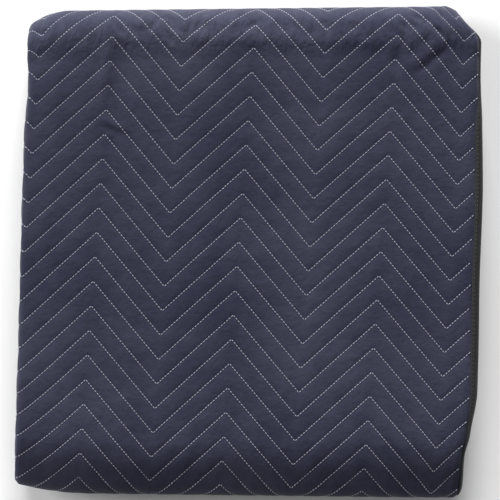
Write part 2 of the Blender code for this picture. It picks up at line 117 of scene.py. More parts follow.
# Each row is a corner of the stack: side and end, how far along the side it draws in and by how much, and
# the reach and depth of the rounding at the fold's end, in millimetres. Only the side's outer strip,
# DRAW_WIDTH wide, draws in.
CORNER_COLUMNS = ("side", "end", "draw_reach", "draw", "round_reach", "round")
CORNER_ROWS = (
    (1, 1, 190, 6.0, 34, 8),
    (1, 1, 34, 18, 20, 2),
    (-1, 1, 60, 0.5, 40, 13.6),
    (1, -1, 105, 7.0, 16, 1.5),
    (-1, -1, 50, -1.0, 73, 9.4),
)
DRAW_WIDTH = 0.06
BACK_SKEW = 0.041
FRONT_SKEW = 0.0175
OUTLINE_MIDDLE = (0.0003, 0.00205)
RIM_REACH = 0.09
RIM_THINNER = 0.035
CORNER_THINNER = 0.07
FRONT_DROOP = 0.011

# Quilting: zigzag seams whose rows fall to the right, more so further back, and whose peaks lean
SEAM_SPACING = 0.0242
ZIGZAG_HALF_WAVE = 0.0708
ZIGZAG_DROP = 0.073
PEAK_X = -0.0127
PEAK_Y = 0.0087
ROW_FALL = 0.0672
ROW_FAN = 0.110
PEAK_LEAN = 0.0471
FAN_LIMIT = 0.35
SEAM_DEPTH = 0.0006

# The sheet as if it went on flat past its folds, in the length of its outer face
FLAT_ALONG = (0, BACK_TURN, BACK_TURN_END, FRONT_TURN, FRONT_TURN_END, CUT_LENGTH)
FLAT_Y = (
    BACK_Y + math.pi * BACK_RADIUS + BACK_TURN,
    BACK_Y + math.pi * BACK_RADIUS,
    BACK_Y,
    FRONT_Y,
    FRONT_Y - math.pi * PAIR_RADIUS,
    FRONT_Y - math.pi * PAIR_RADIUS - CUT_LENGTH + FRONT_TURN_END,
)

# Soft creases, ridges above nought and troughs below, on the flat top face: middle, direction of the
# length, half length, half width and height, in millimetres and degrees
CREASE_COLUMNS = ("x", "y", "turn", "reach", "width", "height")
CREASE_MOST = 0.0028
CREASE_ROWS = (
    (17, 223, 179, 164, 8, -1.6),
    (10, 210, 179, 161, 5, 0.5),
    (-136, 222, 117, 7, 2.8, -2.5),
    (-121, 220, 117, 7, 2.6, -2.3),
    (-114, 221, 114, 6, 2.3, -2.2),
    (-106, 224, 56, 7, 2.7, -2.7),
    (-99, 233, 60, 8, 2.7, -2.5),
    (-89, 216, 108, 7, 2.6, -2.2),
    (-87, 234, 133, 7, 2.7, -2.7),
    (-84, 225, 134, 7, 2.5, -2.3),
    (-81, 230, 41, 7, 2.3, -2.2),
    (-74, 219, 131, 7, 2.5, -2.2),
    (-85, 213, 85, 6, 2.3, -2),
    (-58, 226, 68, 8, 2.9, -2.9),
    (-54, 223, 66, 8, 2.3, -2),
    (-3, 228, 30, 10, 2.7, -2.5),
    (37, 224, 131, 8, 2.5, -2.2),
    (68, 225, 130, 8, 2.5, -2.2),
    (95, 224, 126, 7, 2.5, -2.2),
    (132, 221, 127, 7, 2.7, -2.3),
    (146, 223, 127, 7, 2.5, -2.3),
    (156, 224, 134, 7, 2.5, -2.3),
    (163, 231, 156, 11, 3.8, -3.2),
    (178, 220, 132, 7, 2.5, -2.3),
    (184, 215, 128, 7, 2.5, -2.2),
    (187, 237, 127, 7, 2.7, -2.5),
    (-215, 225, 144, 10, 3.3, -2.3),
    (-115, 231, 68, 10, 3.2, 1.4),
    (-99, 227, 62, 14, 3.2, 1.4),
    (-72, 226, 68, 12, 3.4, 1.3),
    (-55, 226, 63, 15, 3.4, 1.4),
    (-25, 228, 49, 10, 4, 1),
    (14, 228, 70, 11, 4, 1),
    (51, 227, 76, 11, 4, 1),
    (82, 225, 94, 12, 4, 1),
    (113, 224, 100, 13, 4, 1.1),
    (139, 227, 92, 12, 3.5, 1.3),
    (165, 215, 71, 8, 3.5, 1.1),
    (190, 217, 76, 11, 4, 1.3),
    (-149, 182, 90, 30, 6, 2.4),
    (-132, 183, 102, 34, 7, -2.8),
    (-140, 127, 160, 20, 3.2, 0.9),
    (-140, 121, 156, 18, 3, -0.7),
    (140, 191, 93, 18, 5, -2),
    (169, 196, 38, 28, 6, 1.8),
    (175, 189, 38, 27, 3.5, -1.7),
    (-196, 150, 100, 46, 8, 1),
    (-205, 20, 88, 60, 7, 0.8),
    (198, -40, 93, 70, 8, 0.9),
    (-60, -205, 78, 28, 7, 1),
    (70, -210, 100, 26, 6, 0.9),
    (150, -190, 120, 34, 7, 1),
    (0, -216, 180, 700, 14, 1.9),
)


def smooth(value):
    """0 below 0, 1 above 1, and between them three times the square less twice the cube."""
    value = np.clip(value, 0, 1)
    return value * value * (3 - 2 * value)


def side_value(name, along):
    """The named column of the side table, eased between rows by smooth, in metres."""
    rows = np.array(SIDE_ROWS, float)
    stops = rows[:, 0] / 1000
    values = rows[:, SIDE_COLUMNS.index(name)] / 1000
    row = np.clip(np.searchsorted(stops, along, side="right") - 1, 0, len(stops) - 2)
    part = smooth((along - stops[row]) / (stops[row + 1] - stops[row]))
    return values[row] + part * (values[row + 1] - values[row])


def fold_in_thirds(across, along, depth):
    """(x, level) in a folded third: straights joined by half circles, depth measured square to them."""
    left = LEFT_TURN_X - side_value("left", along)
    right = RIGHT_TURN_X + side_value("right", along)
    hem = side_value("hem", along)
    inner = side_value("inner", along)
    off = depth - LAYER / 2

    run = (right - left + hem) * (1 - across / FIRST_TURN)
    past = run - (right - left)
    turned = np.clip(past / HEM_ROUND, 0, HEM_ROUND_MOST)
    tail = np.maximum(past - HEM_ROUND * HEM_ROUND_MOST, 0)
    top_x = np.where(past > 0, right + (HEM_ROUND - off) * np.sin(turned) + tail * np.cos(turned), left + run)
    top_level = RIGHT_TURN_DEPTH - (HEM_ROUND - off) * np.cos(turned) + tail * np.sin(turned)

    angle = math.pi * (across - FIRST_TURN) / TURN_ARC
    left_x = left - (TURN_MIDDLE - off) * np.sin(angle)
    left_level = LEFT_TURN_DEPTH - (TURN_MIDDLE - off) * np.cos(angle)

    part = (across - FIRST_TURN_END) / (SECOND_TURN - FIRST_TURN_END)
    middle_x = left + (right - left) * part
    middle_level = LEFT_TURN_DEPTH + TURN_MIDDLE - off

    angle = math.pi * (across - SECOND_TURN) / TURN_ARC
    right_x = right + (TURN_MIDDLE + off) * np.sin(angle)
    right_level = RIGHT_TURN_DEPTH - (TURN_MIDDLE + off) * np.cos(angle)

    part = (across - SECOND_TURN_END) / (CUT_WIDTH - SECOND_TURN_END)
    low_x = right + (left - inner - right) * part
    low_level = RIGHT_TURN_DEPTH + TURN_MIDDLE + off

    zone = np.searchsorted((FIRST_TURN, FIRST_TURN_END, SECOND_TURN, SECOND_TURN_END), across)
    x = np.choose(zone, (top_x, left_x, middle_x, right_x, low_x))
    level = np.choose(zone, (top_level, left_level, middle_level, right_level, low_level))
    return x, level


def fold_in_quarters(along, level):
    """(y, z) of a place along the stack of thirds: four panels joined by three half circles."""
    inside = BACK_RADIUS - level
    angle = math.pi * (along - BACK_TURN) / BACK_ARC
    back = (BACK_Y + inside * np.sin(angle), BACK_RADIUS - inside * np.cos(angle))

    outside = PAIR_RADIUS - level
    angle = math.pi * (along - FRONT_TURN) / PAIR_ARC
    front = (FRONT_Y - outside * np.sin(angle), PAIR_CENTRE_Z + outside * np.cos(angle))

    round_core = LAYER_GAP / 2 + level
    angle = math.pi * (along - INNER_TURN) / PAIR_ARC
    inner = (BACK_Y + round_core * np.sin(angle), HEIGHT / 2 + round_core * np.cos(angle))

    under = (BACK_Y - UNDER_PANEL + along, level)
    top = (BACK_Y - (along - BACK_TURN_END), HEIGHT - level)
    third = (FRONT_Y + along - FRONT_TURN_END, HEIGHT / 2 + LAYER_GAP / 2 + level)
    last = (BACK_Y - (along - INNER_TURN_END), HEIGHT / 2 - LAYER_GAP / 2 - level)

    stops = (BACK_TURN, BACK_TURN_END, FRONT_TURN, FRONT_TURN_END, INNER_TURN, INNER_TURN_END)
    zone = np.searchsorted(stops, along)
    runs = (under, back, top, front, third, inner, last)
    y = np.choose(zone, [run[0] for run in runs])
    z = np.choose(zone, [run[1] for run in runs])
    return y, z


def settle(x, y, z):
    """The square stack, settled: rim and corners drawn in, folds out of square, front drooping."""
    half_x = STACK_WIDTH / 2
    half_y = STACK_LENGTH / 2

    short_end = BACK_Y - INNER_PANEL
    sag = smooth((short_end - y) / (short_end + half_y))
    z = z - FRONT_DROOP * sag * smooth((z - BUNDLE) / BUNDLE)

    rim_x = smooth((np.abs(x) - half_x + RIM_REACH) / RIM_REACH)
    rim_y = smooth((np.abs(y) - half_y + RIM_REACH) / RIM_REACH)
    z = z * (1 - RIM_THINNER * np.maximum(rim_x, rim_y) - CORNER_THINNER * rim_x * rim_y)

    part = (y + half_y) / STACK_LENGTH
    new_x, new_y = x.copy(), y + x * (FRONT_SKEW + (BACK_SKEW - FRONT_SKEW) * part)
    for row in CORNER_ROWS:
        corner = dict(zip(CORNER_COLUMNS, row))
        reach = corner["draw_reach"] / 1000
        near_end = smooth((corner["end"] * y - half_y + reach) / reach)
        near_side = smooth((corner["side"] * x - half_x + DRAW_WIDTH) / DRAW_WIDTH)
        new_x -= corner["side"] * corner["draw"] / 1000 * near_end * near_side
        reach = corner["round_reach"] / 1000
        over_x = np.clip((corner["side"] * x - half_x + reach) / reach, 0, 1.1)
        over_y = smooth((corner["end"] * y - half_y + 2 * reach) / (2 * reach))
        new_y -= corner["end"] * corner["round"] / 1000 * over_x**2 * over_y
    return new_x - OUTLINE_MIDDLE[0], new_y - OUTLINE_MIDDLE[1], z


def creased(x, y):
    """Height of the creases at a place on the flat top face: each is a bell across and fades at its ends.
    Where several meet, their sum is eased by its hyperbolic tangent to less than CREASE_MOST.
    """
    height = np.zeros_like(x)
    for row in CREASE_ROWS:
        crease = dict(zip(CREASE_COLUMNS, row))
        turn = math.radians(crease["turn"])
        off_x = x - crease["x"] / 1000
        off_y = y - crease["y"] / 1000
        length = (off_x * math.cos(turn) + off_y * math.sin(turn)) / crease["reach"] * 1000
        width = (off_y * math.cos(turn) - off_x * math.sin(turn)) / crease["width"] * 1000
        height += crease["height"] / 1000 * np.exp(-width * width) * smooth(1.2 - np.abs(length))
    return CREASE_MOST * np.tanh(height / CREASE_MOST)


def place(across, along, depth):
    """World points of places in the sheet: folded in thirds, creased, folded in quarters and settled."""
    across, along, depth = np.broadcast_arrays(np.float64(across), np.float64(along), np.float64(depth))
    x, level = fold_in_thirds(across, along, depth)
    lift = creased(x, np.interp(along, FLAT_ALONG, FLAT_Y))
    level = level - lift * (1 - np.clip(level / BUNDLE, 0, 1)) ** 2
    y, z = fold_in_quarters(along, level)
    return np.stack(settle(x, y, z), axis=-1)


def top_run(along):
    """Of the top layer laid out flat: x of its left turn, and its length from there to the hem."""
    left = LEFT_TURN_X - side_value("left", along)
    return left, RIGHT_TURN_X + side_value("right", along) + side_value("hem", along) - left


def quilt_place(across, along):
    """(row, column) of a place in the quilting: half waves from a peak, and seams up from the first one."""
    left, run = top_run(along)
    x = left + run * (1 - across / FIRST_TURN)
    y = np.interp(along, FLAT_ALONG, FLAT_Y)
    fan = np.clip(y, -FAN_LIMIT, FAN_LIMIT)
    row = (x - PEAK_LEAN * fan - PEAK_X) / ZIGZAG_HALF_WAVE
    column = (y + np.clip(x, -FAN_LIMIT, FAN_LIMIT) * (ROW_FALL + ROW_FAN * fan) - PEAK_Y) / SEAM_SPACING
    return row, column


def quilt_phase(across, along):
    """How many seams lie between a place and the first seam: whole on each seam."""
    row, column = quilt_place(across, along)
    return column + ZIGZAG_DROP / SEAM_SPACING * (1 - np.abs(row % 2 - 1))


def flat_place(row, seam):
    """(across, along) of a place given in half waves and seams, from the root of a quadratic in y."""
    base = PEAK_X + row * ZIGZAG_HALF_WAVE
    column = PEAK_Y + seam * SEAM_SPACING - ZIGZAG_DROP * (1 - np.abs(row % 2 - 1))
    second = ROW_FAN * PEAK_LEAN
    first = 1 + ROW_FALL * PEAK_LEAN + ROW_FAN * base
    y = (-first + np.sqrt(first**2 - 4 * second * (ROW_FALL * base - column))) / (2 * second)
    along = np.interp(-y, np.negative(FLAT_Y), FLAT_ALONG)
    left, run = top_run(along)
    return FIRST_TURN * (1 - (base + PEAK_LEAN * y - left) / run), along


def puffed(across, along):
    """How deep the face lies: SEAM_DEPTH times the cube of (1 - off), off being 1 midway between seams."""
    phase = quilt_phase(across, along)
    off = 2 * np.abs(phase - np.round(phase))
    return SEAM_DEPTH * (1 - off) ** 3


def steps(start, end, pitch):
    """Evenly spaced stops from start to end, about pitch apart, as a list."""
    return list(np.linspace(start, end, max(2, round((end - start) / pitch) + 1)))


# Under the tape the sheet is pressed thin, over this margin
MARGIN = 0.0085
MARGIN_SLOPE = 0.0035
PRESSED = 0.0012
HEM_BENDS = (0.003, 0.006, MARGIN, 0.0103, 0.0121, 0.0145, 0.017, 0.020, 0.026, 0.034, 0.044, 0.056, 0.09)
SIDE_STOPS = (0.004, 0.010, 0.018, 0.026, 0.035, 0.05, 0.07, 0.1)
HIDDEN_HEM_STOPS = (0.1, 0.07, 0.05, 0.035, 0.026, 0.018)

# The grid's pitch along each stretch of the sheet, finest where it turns tightest
SIDE_TURN_PITCH = 0.0011
UNDER_PITCH = 0.006
SHOWN_PITCH = 0.0045
FRONT_TURN_PITCH = 0.0026
HIDDEN_PITCH = 0.0065
INNER_TURN_PITCH = 0.003


def sheet_stops():
    """The stops of the sheet's grid across and along it, closest where it bends or shows."""
    near = [0, 0.003, 0.006, MARGIN, MARGIN + MARGIN_SLOPE / 2, MARGIN + MARGIN_SLOPE]
    across = [0] + list(HEM_BENDS) + [FIRST_TURN - STACK_WIDTH / 2]
    for start, end in ((FIRST_TURN, FIRST_TURN_END), (SECOND_TURN, SECOND_TURN_END)):
        across += [start - stop for stop in reversed(SIDE_STOPS)] + steps(start, end, SIDE_TURN_PITCH)
        across += [end + stop for stop in SIDE_STOPS] + [end + STACK_WIDTH / 2]
    across += [CUT_WIDTH - stop for stop in HIDDEN_HEM_STOPS]
    across += [CUT_WIDTH - stop for stop in reversed(near)]
    along = near[:-1] + steps(near[-1], BACK_TURN, UNDER_PITCH)
    for start, end, pitch in (
        (BACK_TURN, BACK_TURN_END, SHOWN_PITCH),
        (BACK_TURN_END, FRONT_TURN, SHOWN_PITCH),
        (FRONT_TURN, FRONT_TURN_END, FRONT_TURN_PITCH),
        (FRONT_TURN_END, INNER_TURN, HIDDEN_PITCH),
        (INNER_TURN, INNER_TURN_END, INNER_TURN_PITCH),
        (INNER_TURN_END, CUT_LENGTH - near[-1], HIDDEN_PITCH),
    ):
        along += steps(start, end, pitch)[1:]
    along += [CUT_LENGTH - stop for stop in reversed(near[:-1])]
    return np.array(across), np.array(along)


def quads(index):
    """Faces of a grid of vertex numbers, turning from the first axis to the second."""
    return np.stack((index[:-1, :-1], index[1:, :-1], index[1:, 1:], index[:-1, 1:]), axis=-1).reshape(-1, 4)


def new_mesh(name, points, faces, values):
    """A smooth mesh of three- and four-sided faces, with these named triples of numbers at its points."""
    sizes = np.concatenate([np.full(len(face), face.shape[1]) for face in faces])
    corners = np.concatenate([face.reshape(-1) for face in faces])
    used, corners = np.unique(corners, return_inverse=True)
    mesh = bpy.data.meshes.new(name)
    mesh.vertices.add(len(used))
    mesh.vertices.foreach_set("co", points[used].astype(np.float32).reshape(-1))
    mesh.loops.add(len(corners))
    mesh.loops.foreach_set("vertex_index", corners.reshape(-1).astype(np.int32))
    mesh.polygons.add(len(sizes))
    mesh.polygons.foreach_set("loop_start", (np.cumsum(sizes) - sizes).astype(np.int32))
    for label, triples in values.items():
        attribute = mesh.attributes.new(label, "FLOAT_VECTOR", "POINT")
        attribute.data.foreach_set("vector", triples[used].astype(np.float32).reshape(-1))
    mesh.update(calc_edges=True)
    mesh.validate()
    mesh.shade_smooth()
    piece = bpy.data.objects.new(name, mesh)
    bpy.context.scene.collection.objects.link(piece)
    return piece


# The fine stretch of the navy face: from under the back fold over the top to under the front fold.
# Its points lie on rows level with the seams, closest at each seam.
FINE_START = BACK_TURN - 0.022
FINE_END = FRONT_TURN_END + 0.02
ROW_PARTS = 24
SEAM_PARTS = (0, 0.055, 0.14, 0.25, 0.375, 0.5, 0.625, 0.75, 0.86, 0.945)
FINE_CLEAR = 0.0009
SEAM_NUMBERS = np.arange(-18, 18)
HALF_WAVES = 4

# Here, on the back fold, each cell of those rows has a point at its middle too, for the puckers
PUCKERS_START = BACK_TURN_END - 0.038
PUCKERS_END = BACK_TURN_END + 0.030


def fine_face(across, along):
    """Rim, inner places and triangles of the fine stretch, its rows of points joined along the seams."""
    rim = [(u, along[0]) for u in across[:-1]] + [(across[-1], v) for v in along[:-1]]
    rim += [(u, along[-1]) for u in across[:0:-1]] + [(across[0], v) for v in along[:0:-1]]
    row = np.arange(-HALF_WAVES * ROW_PARTS, HALF_WAVES * ROW_PARTS + 1) / ROW_PARTS
    seam = (SEAM_NUMBERS[:, None] + np.array(SEAM_PARTS)).reshape(-1)
    u, v = flat_place(row[None, :], seam[:, None])
    inside = (u > across[0] + FINE_CLEAR) & (u < across[-1] - FINE_CLEAR)
    inside &= (v > along[0] + FINE_CLEAR) & (v < along[-1] - FINE_CLEAR)
    number = np.full(u.shape, -1)
    number[inside] = len(rim) + np.arange(inside.sum())
    joined = inside[:, :-1] & inside[:, 1:]
    edges = np.stack((number[:, :-1][joined], number[:, 1:][joined]), axis=-1).tolist()
    edges += [(i, (i + 1) % len(rim)) for i in range(len(rim))]
    u_cell, v_cell = flat_place((row[None, 1:] + row[None, :-1]) / 2, (seam[1:, None] + seam[:-1, None]) / 2)
    cell = inside[:-1, :-1] & inside[:-1, 1:] & inside[1:, :-1] & inside[1:, 1:]
    cell &= (v_cell > PUCKERS_START) & (v_cell < PUCKERS_END)
    inner = np.stack((np.append(u[inside], u_cell[cell]), np.append(v[inside], v_cell[cell])), axis=-1)
    places = np.concatenate((np.array(rim), inner)) * 1000
    found = delaunay_2d_cdt([Vector(place) for place in places.tolist()], edges, [], 0, 0.001)
    order = np.array([sources[0] for sources in found[3]])
    return rim, inner, order[np.array(found[2])]


def build_sheet():
    """The whole sheet as one closed mesh: black face, navy face with its fine stretch let in, and the rim."""
    across, along = sheet_stops()
    first_across = int(np.argmin(np.abs(across - MARGIN)))
    last_across = int(np.argmin(np.abs(across - FIRST_TURN_END)))
    first_along = int(np.argmin(np.abs(along - FINE_START)))
    last_along = int(np.argmin(np.abs(along - FINE_END)))
    window = (slice(first_across, last_across + 1), slice(first_along, last_along + 1))
    rim, inner, triangles = fine_face(across[window[0]], along[window[1]])

    u, v = np.meshgrid(across, along, indexing="ij")
    count = u.size
    black = np.arange(count).reshape(u.shape)
    navy = black + count
    numbers = {(across[i], along[j]): navy[i, j] for i in range(len(across)) for j in range(len(along))}
    own = np.array([numbers[corner] for corner in rim] + list(range(2 * count, 2 * count + len(inner))))

    u = np.concatenate((u.reshape(-1), u.reshape(-1), inner[:, 0]))
    v = np.concatenate((v.reshape(-1), v.reshape(-1), inner[:, 1]))
    side = np.where(np.arange(len(u)) < count, 1.0, 0.0)
    inward = np.minimum(np.minimum(u, CUT_WIDTH - u), np.minimum(v, CUT_LENGTH - v))
    held = 1 - smooth((inward - MARGIN) / MARGIN_SLOPE)
    dip = puffed(u, v) * (1 - held) + PRESSED * held
    points = place(u, v, np.where(side > 0, LAYER - dip, dip))

    outside = np.ones((len(across) - 1, len(along) - 1), bool)
    outside[first_across:last_across, first_along:last_along] = False
    faces = [quads(navy)[outside.reshape(-1)], own[triangles], quads(black)[:, ::-1]]
    for edge in (
        (black[:, 0], navy[:, 0]),
        (black[-1, :], navy[-1, :]),
        (black[::-1, -1], navy[::-1, -1]),
        (black[0, ::-1], navy[0, ::-1]),
    ):
        faces.append(quads(np.stack(edge, axis=1)))
    row, column = quilt_place(u, v)
    stitched = (v > FINE_START) & (v < FINE_END) & (u < FIRST_TURN_END) & (side < 1)
    return new_mesh("quilted_sheet_cloth", points, faces, {
        "quilt": np.stack((row, column, side), axis=-1),
        "cloth": np.stack((u, v, np.where(stitched, 1.0, 0.0)), axis=-1),
    })


class Shade:
    """One output of a shader node. Arithmetic on it adds Math nodes to the same material."""

    def __init__(self, tree, socket=None):
        self.tree = tree
        self.socket = socket

    def add(self, kind, settings=None, inputs=None, output=0):
        """A node of this kind, its settings made first, then its inputs set or linked: one output."""
        node = self.tree.nodes.new(kind)
        for name, value in (settings or {}).items():
            setattr(node, name, value)
        for name, value in (inputs or {}).items():
            if isinstance(value, Shade):
                self.tree.links.new(value.socket, node.inputs[name])
            else:
                node.inputs[name].default_value = value
        return Shade(self.tree, node.outputs[output])

    def math(self, operation, *others):
        return self.add("ShaderNodeMath", {"operation": operation}, dict(enumerate((self, *others))))

    def __add__(self, other):
        return self.math("ADD", other)

    __radd__ = __add__

    def __mul__(self, other):
        return self.math("MULTIPLY", other)

    __rmul__ = __mul__

    def __sub__(self, other):
        return self.math("SUBTRACT", other)

    def __rsub__(self, other):
        return self.add("ShaderNodeMath", {"operation": "SUBTRACT"}, {0: other, 1: self})

    def __abs__(self):
        return self.math("ABSOLUTE")

    def __mod__(self, other):
        return self.math("FLOORED_MODULO", other)

    def over(self, low, high):
        """0 where this is under low, 1 over high, and smooth between."""
        return self.add(
            "ShaderNodeMapRange",
            {"interpolation_type": "SMOOTHSTEP"},
            {0: self, 1: low, 2: high, 3: 0.0, 4: 1.0},
        )

    def part(self, axis):
        """One number of a vector."""
        return self.add("ShaderNodeSeparateXYZ", {}, {0: self}, axis)

    def noise(self, scale, detail=2.0, roughness=0.5):
        """Cloudy values, about 0.5 on average, of this size at this vector."""
        return self.add(
            "ShaderNodeTexNoise",
            {},
            {"Vector": self, "Scale": scale, "Detail": detail, "Roughness": roughness},
        )

    def mixed(self, first, second):
        """From the first colour to the second as this goes from 0 to 1."""
        return self.add("ShaderNodeMix", {"data_type": "RGBA"}, {0: self, 6: first, 7: second}, 2)


def new_material(name):
    """An empty cloth material: its shader and the start of its nodes."""
    material = bpy.data.materials.new(name)
    material.use_nodes = True
    return material, material.node_tree.nodes["Principled BSDF"], Shade(material.node_tree)


def attribute(start, name):
    """A named triple of numbers on the piece's points."""
    return start.add("ShaderNodeAttribute", {"attribute_name": name}, {}, 1)


def connect(shader, values):
    for name, value in values.items():
        if isinstance(value, Shade):
            value.tree.links.new(value.socket, shader.inputs[name])
        else:
            shader.inputs[name].default_value = value


NAVY = (0.0180, 0.0196, 0.0412, 1)
NAVY_PALE = (0.0365, 0.0382, 0.0645, 1)
CHARCOAL = (0.016, 0.016, 0.018, 1)
CHARCOAL_PALE = (0.032, 0.032, 0.034, 1)
THREAD_GREY = (0.20, 0.20, 0.23, 1)
YARN_PITCH = 0.0009
LEG_STITCHES = 30
LEG_LENGTH = math.hypot(ZIGZAG_HALF_WAVE, ZIGZAG_DROP)


def quilted_cloth():
    """Navy and charcoal woven polyester with a plain weave, with painted shade along the seams, and thread in
    them.
    """
    material, shader, start = new_material("quilted_polyester")
    quilt, cloth = attribute(start, "quilt"), attribute(start, "cloth")
    row, column, side = quilt.part(0), quilt.part(1), quilt.part(2)
    across, along = cloth.part(0), cloth.part(1)
    phase = column + (ZIGZAG_DROP / SEAM_SPACING) * (1 - abs(row % 2.0 - 1))
    off = abs(phase - phase.math("ROUND")) * (SEAM_SPACING * 0.71)
    # Painted shade: within a few millimetres of each seam the cloth colour is made darker, standing in for
    # shade in the seam's hollow
    painted_seam_shade = 1 - off.over(0.0004, 0.0030)
    line = 1 - off.over(0.00030, 0.00050)
    dash = (row * float(LEG_STITCHES)) % 1.0
    thread = line * dash.over(0.10, 0.16) * (1 - dash.over(0.84, 0.90)) * (1 - cloth.part(2))

    warp = (across * (2 * math.pi / YARN_PITCH)).math("SINE")
    weft = (along * (2 * math.pi / YARN_PITCH)).math("SINE")
    weave = warp * weft
    cloud = cloth.noise(9.0, 3.0)
    fleck = cloth.noise(900.0, 2.0, 0.7)
    rub = cloth.noise(55.0, 4.0, 0.65)
    on_fold = along.over(0.430, 0.462) * (1 - along.over(0.492, 0.512))
    stretched = start.add("ShaderNodeVectorMath", {"operation": "MULTIPLY"}, {0: cloth, 1: (1.0, 0.4, 1.0)})
    crumple = stretched.noise(130.0, 3.0, 0.6) * on_fold * 0.006
    pale = (cloud * 1.1 + fleck * 0.5 + rub * 0.7 + weave * 0.05 - painted_seam_shade * 0.05).over(0.75, 1.55)
    navy, black = pale.mixed(NAVY, NAVY_PALE), pale.mixed(CHARCOAL, CHARCOAL_PALE)
    colour = thread.mixed(side.mixed(navy, black), THREAD_GREY)
    height = weave * 0.00010 + fleck * 0.00012 + rub * 0.003 + crumple + thread * 0.0004
    normal = start.add("ShaderNodeBump", {}, {"Strength": 0.55, "Distance": 1.0, "Height": height})
    connect(shader, {
        "Base Color": colour,
        "Roughness": 0.80 + 0.12 * fleck,
        "Normal": normal,
        "Sheen Weight": 0.13,
        "Sheen Roughness": 0.5,
        "Specular IOR Level": 0.12,
    })
    return material


sheet = build_sheet()
sheet.data.materials.append(quilted_cloth())
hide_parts("quilted_sheet")
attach(sheet, "root")

# The quilting thread. Pale grey polyester, a lockstitch of about three to the centimetre, pulled down
# into the padding. Each stitch that shows is its own short raised length, and dips in at both ends.
STITCH_LENGTH = 0.0023
STITCH_HALF_WIDTH = 0.00038
STITCH_RISE = 0.00030
STITCH_RINGS = (-1.0, -0.55, 0.55, 1.0)
STITCH_FULLNESS = (0.45, 1.0, 1.0, 0.45)
STITCH_LIFT = (-0.00015, 0.00030, 0.00030, -0.00015)
STITCH_SIDES = 5

# How far the outermost stitches stay from the tape and from the fine stretch's ends, and how much
# further along a seam, in half waves, its direction is taken
TAPE_SIDE_CLEAR = 0.001
FINE_END_CLEAR = 0.003
TURN_STEP = 0.0007


def stitch_faces(count, rings, sides):
    """Faces of many capped tubes whose points are numbered stitch by stitch and ring by ring."""
    ring = np.arange(rings)[:, None] * sides + np.append(np.arange(sides), 0)
    tube = quads(ring)
    base = np.arange(count)[:, None, None] * (rings * sides)
    caps = [np.arange(sides)[::-1], (rings - 1) * sides + np.arange(sides)]
    fans = np.array([[cap[0], cap[i], cap[i + 1]] for cap in caps for i in range(1, sides - 1)])
    return [(tube + base).reshape(-1, 4), (fans + base).reshape(-1, 3)]


def build_quilting_thread():
    """Every stitch of every seam on the fine stretch: rings along it, each an oval square to the seam."""
    middles = (np.arange(-HALF_WAVES * LEG_STITCHES, HALF_WAVES * LEG_STITCHES) + 0.5) / LEG_STITCHES
    row, seam = [grid.reshape(-1) for grid in np.meshgrid(middles, SEAM_NUMBERS)]
    u, v = flat_place(row, seam)
    keep = (u > MARGIN + TAPE_SIDE_CLEAR) & (u < FIRST_TURN_END - FINE_END_CLEAR)
    keep &= (v > FINE_START + FINE_END_CLEAR) & (v < FINE_END - FINE_END_CLEAR)
    row, seam = row[keep], seam[keep]
    reach = np.array(STITCH_RINGS) * STITCH_LENGTH / 2 / LEG_LENGTH
    u, v = flat_place(row[:, None] + reach, seam[:, None])
    u_on, v_on = flat_place(row[:, None] + reach + TURN_STEP, seam[:, None])
    turn = np.arctan2(v_on - v, u_on - u)[:, :, None]
    round_it = np.arange(STITCH_SIDES) * (2 * math.pi / STITCH_SIDES)
    full = np.array(STITCH_FULLNESS)[:, None]
    aside = STITCH_HALF_WIDTH * full * np.cos(round_it)
    rise = STITCH_RISE * full * np.sin(round_it) + np.array(STITCH_LIFT)[:, None]
    points = place(
        u[:, :, None] - aside * np.sin(turn), v[:, :, None] + aside * np.cos(turn), SEAM_DEPTH - rise
    )
    along_it = np.broadcast_to(np.array(STITCH_RINGS)[:, None], points.shape[:3])
    values = np.stack((along_it, np.broadcast_to(np.cos(round_it), points.shape[:3]), along_it * 0), axis=-1)
    faces = stitch_faces(len(row), len(STITCH_RINGS), STITCH_SIDES)
    return new_mesh("quilting_thread", points.reshape(-1, 3), faces, {"strand": values.reshape(-1, 3)})


def thread_material(name, colour, pale):
    """Twisted thread: slanting plies across each stitch, with a soft gloss."""
    material, shader, start = new_material(name)
    strand = attribute(start, "strand")
    ply = (strand.part(0) * 9.0 + strand.part(1) * 2.2).math("SINE")
    connect(shader, {
        "Base Color": ply.over(-1.0, 1.0).mixed(colour, pale),
        "Roughness": 0.6,
        "Sheen Weight": 0.1,
    })
    return material


thread = build_quilting_thread()
thread.data.materials.append(thread_material("quilting_thread", (0.23, 0.24, 0.29, 1), (0.36, 0.37, 0.43, 1)))
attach(thread, "root")

# The edge binding. Black woven tape about 22 mm wide, folded in half over the cut edges all the way
# round, pressing the padding thin, and sewn down through both flaps.
TAPE_FLAP = 0.008
TAPE_THICK = 0.0006
TAPE_CLEAR = 0.0004
TAPE_PROUD = 0.0002
TAPE_FLAP_STOPS = (TAPE_FLAP, 0.0062, 0.0044, 0.0022, 0.0008)
TAPE_SEAM_INWARD = 0.0062
TAPE_BEND_STOPS = 7
TAPE_STOP_CLEAR = 0.0004


def tape_section():
    """(inward, depth) round the tape's folded section: one flap, round the edge, the other, and back."""
    top, low = TAPE_PROUD, LAYER - TAPE_PROUD
    middle = (top + low) / 2
    outer, inner = [], []
    for radius, found in ((middle - top, outer), (middle - top - TAPE_THICK, inner)):
        near = middle - top - TAPE_THICK - TAPE_CLEAR
        bend = [(near - radius * math.sin(turn), middle - radius * math.cos(turn))
                for turn in np.linspace(0, math.pi, TAPE_BEND_STOPS)]
        flap = [stop for stop in TAPE_FLAP_STOPS if stop > near + TAPE_STOP_CLEAR]
        found += [(stop, middle - radius) for stop in flap]
        found += bend
        found += [(stop, middle + radius) for stop in reversed(flap)]
    return outer + inner[::-1]


